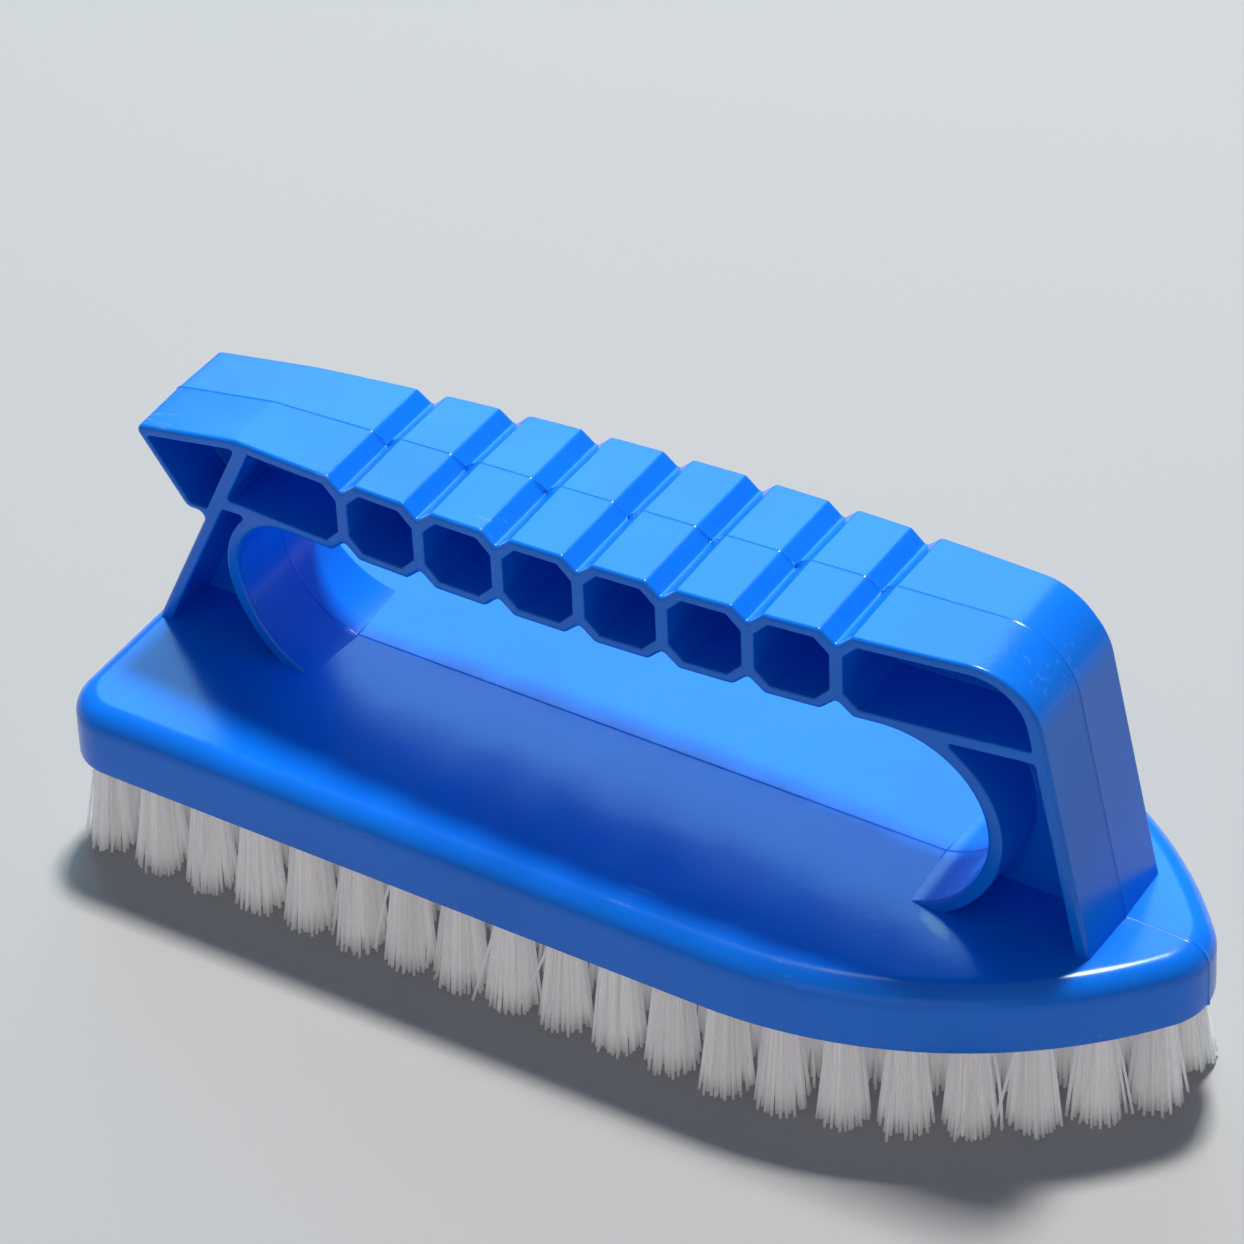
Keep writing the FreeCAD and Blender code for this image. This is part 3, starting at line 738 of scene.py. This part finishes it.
def make_blue_plastic():
    material, add, links, shader = node_material("blue_moulded_plastic")
    place = add("ShaderNodeTexCoord")
    cloud = add("ShaderNodeTexNoise", Scale=28.0, Detail=3.0, Roughness=0.5)
    links.new(place.outputs["Object"], cloud.inputs["Vector"])
    tone = ramp(add("ShaderNodeValToRGB"), [(0.3, (0.0, 0.165, 0.82)), (0.7, (0.0, 0.20, 0.94))])
    links.new(cloud.outputs["Fac"], tone.inputs["Fac"])

    # one pale smear on the block beside the foot of the front arch
    smear_place = add("ShaderNodeMapping", vector_type="TEXTURE", Location=SMEAR_MIDDLE * MM)
    smear_place.inputs["Rotation"].default_value = (0, 0, SMEAR_TURN)
    smear_place.inputs["Scale"].default_value = SMEAR_REACH * MM
    links.new(place.outputs["Object"], smear_place.inputs["Vector"])
    smear_spot = add("ShaderNodeTexGradient", gradient_type="SPHERICAL")
    links.new(smear_place.outputs["Vector"], smear_spot.inputs["Vector"])
    smear_streak = add("ShaderNodeTexNoise", Scale=2.2, Detail=4.0, Roughness=0.7)
    links.new(smear_place.outputs["Vector"], smear_streak.inputs["Vector"])
    smear_sum = add("ShaderNodeMath", operation="MULTIPLY")
    links.new(smear_spot.outputs["Fac"], smear_sum.inputs[0])
    links.new(smear_streak.outputs["Fac"], smear_sum.inputs[1])
    smear = ramp(add("ShaderNodeValToRGB"), [(0.12, 0.0), (0.30, 0.8)])
    links.new(smear_sum.outputs[0], smear.inputs["Fac"])

    # fine pale rubbing marks along the brush, in a few patches
    patches = add("ShaderNodeTexNoise", Scale=38.0, Detail=2.0)
    links.new(place.outputs["Object"], patches.inputs["Vector"])
    drawn_out = add("ShaderNodeMapping", Scale=(140.0, 1300.0, 1300.0))
    links.new(place.outputs["Object"], drawn_out.inputs["Vector"])
    grit = add("ShaderNodeTexNoise", Scale=1.0, Detail=3.0, Roughness=0.6)
    links.new(drawn_out.outputs["Vector"], grit.inputs["Vector"])
    patch_mask = ramp(add("ShaderNodeValToRGB"), [(0.60, 0.0), (0.74, 1.0)])
    grit_mask = ramp(add("ShaderNodeValToRGB"), [(0.56, 0.0), (0.68, 1.0)])
    links.new(patches.outputs["Fac"], patch_mask.inputs["Fac"])
    links.new(grit.outputs["Fac"], grit_mask.inputs["Fac"])
    scuff = add("ShaderNodeMath", operation="MULTIPLY")
    links.new(patch_mask.outputs["Color"], scuff.inputs[0])
    links.new(grit_mask.outputs["Color"], scuff.inputs[1])
    colour = add("ShaderNodeMix", data_type="RGBA")
    colour.inputs[7].default_value = (0.32, 0.55, 0.92, 1)
    faint = add("ShaderNodeMath", operation="MULTIPLY")
    faint.inputs[1].default_value = 0.18
    links.new(scuff.outputs[0], faint.inputs[0])
    marks = add("ShaderNodeMath", operation="MAXIMUM")
    links.new(faint.outputs[0], marks.inputs[0])
    links.new(smear.outputs["Color"], marks.inputs[1])
    links.new(marks.outputs[0], colour.inputs[0])
    links.new(tone.outputs["Color"], colour.inputs[6])
    links.new(colour.outputs[2], shader.inputs["Base Color"])

    gloss = add("ShaderNodeTexNoise", Scale=160.0, Detail=5.0, Roughness=0.65)
    links.new(place.outputs["Object"], gloss.inputs["Vector"])
    rough = add("ShaderNodeMapRange")
    rough.inputs["To Min"].default_value = 0.16
    rough.inputs["To Max"].default_value = 0.27
    links.new(gloss.outputs["Fac"], rough.inputs["Value"])
    worn = add("ShaderNodeMath", operation="MULTIPLY_ADD")
    worn.inputs[1].default_value = 0.3
    links.new(scuff.outputs[0], worn.inputs[0])
    links.new(rough.outputs[0], worn.inputs[2])
    links.new(worn.outputs[0], shader.inputs["Roughness"])

    # slow sink of the moulded walls under a fine skin
    sink = add("ShaderNodeTexNoise", Scale=70.0, Detail=1.0)
    skin = add("ShaderNodeTexNoise", Scale=1500.0, Detail=2.0)
    for noise in (sink, skin):
        links.new(place.outputs["Object"], noise.inputs["Vector"])
    sink_bump = add("ShaderNodeBump", Strength=0.35, Distance=0.0004)
    skin_bump = add("ShaderNodeBump", Strength=0.25, Distance=0.00002)
    links.new(sink.outputs["Fac"], sink_bump.inputs["Height"])
    links.new(skin.outputs["Fac"], skin_bump.inputs["Height"])
    links.new(sink_bump.outputs["Normal"], skin_bump.inputs["Normal"])
    links.new(skin_bump.outputs["Normal"], shader.inputs["Normal"])
    shader.inputs["IOR"].default_value = 1.5
    shader.inputs["Specular Tint"].default_value = (0.72, 0.9, 1.0, 1)
    return material


def make_nylon():
    material, add, links, shader = node_material("nylon_filament")
    place = add("ShaderNodeTexCoord")
    height = add("ShaderNodeSeparateXYZ")
    links.new(place.outputs["Object"], height.inputs[0])
    lift = add("ShaderNodeMapRange")
    lift.inputs["From Max"].default_value = BLOCK_LOW.z
    links.new(height.outputs["Z"], lift.inputs["Value"])
    fade = ramp(add("ShaderNodeValToRGB"), [(0.0, (0.95, 0.95, 0.97)), (0.7, (0.95, 0.92, 0.92))])
    links.new(lift.outputs[0], fade.inputs["Fac"])
    each = add("ShaderNodeNewGeometry")
    vary = add("ShaderNodeMapRange")
    vary.inputs["To Min"].default_value = 0.76
    vary.inputs["To Max"].default_value = 1.04
    links.new(each.outputs["Random Per Island"], vary.inputs["Value"])
    tint = add("ShaderNodeMix", data_type="RGBA", blend_type="MULTIPLY")
    tint.inputs[0].default_value = 1.0
    links.new(fade.outputs["Color"], tint.inputs[6])
    links.new(vary.outputs[0], tint.inputs[7])
    links.new(tint.outputs[2], shader.inputs["Base Color"])
    # painted glow: a weak emission in the filaments' own colour brightens them in shade, standing in for
    # the bounce light and the light that the clear filaments pass on to each other inside a tuft
    links.new(tint.outputs[2], shader.inputs["Emission Color"])
    shader.inputs["Emission Strength"].default_value = 0.09
    grain = add("ShaderNodeTexNoise", Scale=2500.0, Detail=1.0)
    links.new(place.outputs["Object"], grain.inputs["Vector"])
    rough = add("ShaderNodeMapRange")
    rough.inputs["To Min"].default_value = 0.3
    rough.inputs["To Max"].default_value = 0.5
    links.new(grain.outputs["Fac"], rough.inputs["Value"])
    links.new(rough.outputs[0], shader.inputs["Roughness"])
    shader.inputs["Subsurface Weight"].default_value = 1.0
    shader.inputs["Subsurface Radius"].default_value = (1.0, 0.95, 1.0)
    shader.inputs["Subsurface Scale"].default_value = 0.003
    shader.inputs["IOR"].default_value = 1.53
    return material


def make_anchor_steel():
    material, add, links, shader = node_material("galvanised_anchor")
    place = add("ShaderNodeTexCoord")
    spangle = add("ShaderNodeTexVoronoi", Scale=1400.0)
    links.new(place.outputs["Object"], spangle.inputs["Vector"])
    tone = ramp(add("ShaderNodeValToRGB"), [(0.0, (0.45, 0.45, 0.46)), (0.8, (0.66, 0.66, 0.65))])
    links.new(spangle.outputs["Distance"], tone.inputs["Fac"])
    links.new(tone.outputs["Color"], shader.inputs["Base Color"])
    rough = add("ShaderNodeMapRange")
    rough.inputs["To Min"].default_value = 0.3
    rough.inputs["To Max"].default_value = 0.5
    links.new(spangle.outputs["Distance"], rough.inputs["Value"])
    links.new(rough.outputs[0], shader.inputs["Roughness"])
    shader.inputs["Metallic"].default_value = 1.0
    return material


# ---------------------------------------------------------------- stage
def make_floor():
    mesh = bpy.data.meshes.new("floor")
    reach = 4.0
    corners = [(x * reach, y * reach, 0) for x, y in ((-1, -1), (1, -1), (1, 1), (-1, 1))]
    mesh.from_pydata(corners, [], [(0, 1, 2, 3)])
    floor = bpy.data.objects.new("floor", mesh)
    bpy.context.scene.collection.objects.link(floor)
    material, add, links, shader = node_material("pale_floor")
    cloud = add("ShaderNodeTexNoise", Scale=3.0, Detail=4.0)
    tone = ramp(add("ShaderNodeValToRGB"), [(0.3, 0.42), (0.7, 0.46)])
    links.new(cloud.outputs["Fac"], tone.inputs["Fac"])
    links.new(tone.outputs["Color"], shader.inputs["Base Color"])
    shader.inputs["Roughness"].default_value = 0.8
    mesh.materials.append(material)


def towards(azimuth, elevation):
    """The direction from the object to an azimuth and elevation in degrees, azimuth 0 on the -Y side and 90
    on the +X side.
    """
    a, e = math.radians(azimuth), math.radians(elevation)
    return Vector((math.sin(a) * math.cos(e), -math.cos(a) * math.cos(e), math.sin(e)))


def area_light(name, azimuth, elevation, distance, size, watts, colour=(1, 1, 1)):
    """A soft box that looks at the object."""
    back = towards(azimuth, elevation)
    light = bpy.data.lights.new(name, "AREA")
    light.shape, light.size, light.energy, light.color = "SQUARE", size, watts, colour
    lamp = bpy.data.objects.new(name, light)
    lamp.location = back * distance
    lamp.rotation_mode = "QUATERNION"
    lamp.rotation_quaternion = back.to_track_quat("Z", "Y")
    bpy.context.scene.collection.objects.link(lamp)


def make_camera():
    back = towards(CAMERA_AZIMUTH, CAMERA_ELEVATION)
    data = bpy.data.cameras.new("camera")
    data.sensor_width, data.lens = CAMERA_SENSOR, CAMERA_LENS
    data.clip_start, data.clip_end = 0.05, 20
    camera = bpy.data.objects.new("camera", data)
    upright = back.to_track_quat("Z", "Y").to_matrix()
    turned = upright @ Matrix.Rotation(math.radians(CAMERA_ROLL), 3, "Z")
    camera.matrix_world = Matrix.Translation(CAMERA_AIM + back * CAMERA_DISTANCE) @ turned.to_4x4()
    bpy.context.scene.collection.objects.link(camera)
    bpy.context.scene.camera = camera


def make_world():
    world = bpy.data.worlds.new("studio")
    world.use_nodes = True
    background = world.node_tree.nodes["Background"]
    background.inputs["Color"].default_value = (0.84, 0.90, 1.0, 1)
    background.inputs["Strength"].default_value = 0.22
    bpy.context.scene.view_settings.view_transform = "Standard"
    bpy.context.scene.world = world


# ---------------------------------------------------------------- the brush
def main():
    plastic, nylon, steel = make_blue_plastic(), make_nylon(), make_anchor_steel()
    layout = tuft_layout()
    for piece, node in ((make_block(layout), "block"), (make_handle(), "handle")):
        piece.data.materials.append(plastic)
        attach(piece, "root")
        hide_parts(node)
    for name, tufts in layout.items():
        piece = make_tufts(name, tufts)
        piece.data.materials.append(nylon)
        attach(piece, "root")
        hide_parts(name)
    for name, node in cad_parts.items():
        if name.startswith("anchors_"):
            for slot in node.material_slots:
                slot.material = steel

    make_floor()
    make_world()
    make_camera()
    area_light("key_behind", 196, 68, 1.6, 0.22, 30, (1.0, 0.98, 0.95))
    area_light("sky_panel", 213, 34, 1.9, 1.1, 12, (0.38, 0.80, 1.0))
    area_light("low_fill", 15, 10, 1.6, 1.3, 2.4)


main()
